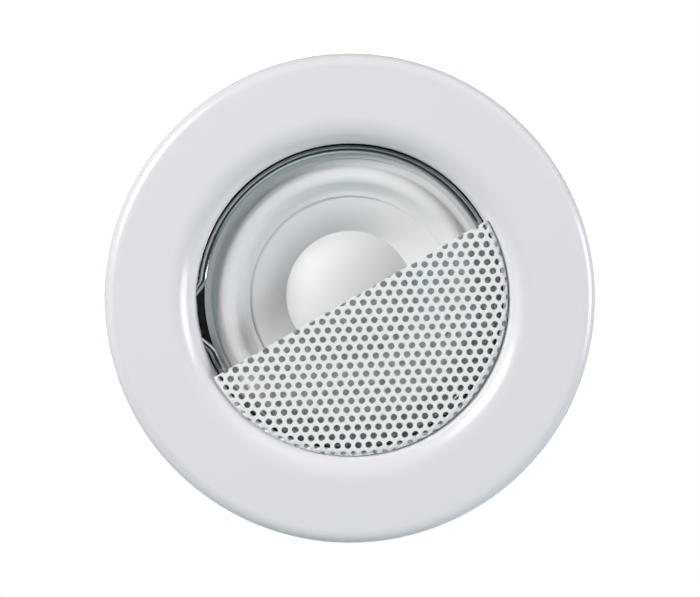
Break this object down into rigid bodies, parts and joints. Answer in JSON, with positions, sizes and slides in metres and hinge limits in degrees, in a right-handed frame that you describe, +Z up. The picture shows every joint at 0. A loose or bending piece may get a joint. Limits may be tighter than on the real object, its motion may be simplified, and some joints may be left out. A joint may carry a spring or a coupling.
{
  "type": "recessed loudspeaker",
  "caption": "Small round flush-mounted loudspeaker in a pressed white trim ring, with a cut-away half grille, a wire retaining ring and hinged spring clips.",
  "frame": {"origin": "centre of the trim ring, in the plane of its rear edge, which seats on the wall or ceiling panel", "axes": "as fitted in a wall: the front faces -Y, +Y points into the panel along the speaker's axis, +Z is up and +X is to the right for someone facing the speaker"},
  "size_m": [0.082, 0.0304, 0.082],
  "materials": {
    "ring_paint": "gloss white powder coat on pressed steel",
    "grille_paint": "satin white coat on punched steel sheet",
    "spring_steel": "bright spring wire",
    "gasket_foam": "black foam rubber",
    "frame_steel": "satin white coat on pressed steel",
    "surround_rubber": "white rubber, slightly glossy",
    "cone_plastic": "white moulded plastic cone",
    "cap_plastic": "white formed plastic dome",
    "former_film": "amber film",
    "copper_wire": "enamelled copper wire",
    "spider_cloth": "resin-stiffened woven cloth",
    "zinc_plate": "zinc-plated steel",
    "ferrite": "matt grey-black ground ferrite",
    "rivet_metal": "bright rivet",
    "phenolic_board": "brown laminate board",
    "tag_brass": "tinned brass",
    "lead_braid": "braided copper lead",
    "bracket_zinc": "zinc-plated steel",
    "sleeve_plastic": "white plastic tube"
  },
  "bodies": {
    "speaker": {"trim_ring": "ring_paint", "grille": "grille_paint", "retaining_ring": "spring_steel", "rim_gasket": "gasket_foam", "driver_frame": "frame_steel", "surround": "surround_rubber", "spider": "spider_cloth", "top_plate": "zinc_plate", "magnet": "ferrite", "yoke": "zinc_plate", "frame_rivets": "rivet_metal", "terminal_board": "phenolic_board", "terminal_rivet": "rivet_metal", "terminal_tags": "tag_brass", "lead_left": "lead_braid", "lead_right": "lead_braid", "left_bracket": "bracket_zinc", "left_rivets": "rivet_metal", "left_pin": "bracket_zinc", "left_spring": "spring_steel", "right_bracket": "bracket_zinc", "right_rivets": "rivet_metal", "right_pin": "bracket_zinc", "right_spring": "spring_steel"},
    "diaphragm": {"cone": "cone_plastic", "dust_cap": "cap_plastic", "coil_former": "former_film", "coil_winding": "copper_wire"},
    "left_clip": {"left_arm": "spring_steel", "left_sleeve": "sleeve_plastic"},
    "right_clip": {"right_arm": "spring_steel", "right_sleeve": "sleeve_plastic"}
  },
  "joints": [
    {"name": "cone_travel", "type": "slide", "parent": "speaker", "child": "diaphragm", "axis": [0, -1, 0], "range_m": [-0.0015, 0.0015], "stiffness_N_per_m": 1000, "deforming": ["surround", "spider", "lead_left", "lead_right"]},
    {"name": "left_clip_swing", "type": "hinge", "parent": "speaker", "child": "left_clip", "pos_m": [-0.03, 0.0095, 0], "axis": [0, 0, -1], "range_deg": [0, 155], "stiffness_Nm_per_rad": 0.04, "springref_deg": -57.3},
    {"name": "right_clip_swing", "type": "hinge", "parent": "speaker", "child": "right_clip", "pos_m": [0.03, 0.0095, 0], "axis": [0, 0, 1], "range_deg": [0, 155], "stiffness_Nm_per_rad": 0.04, "springref_deg": -57.3}
  ]
}
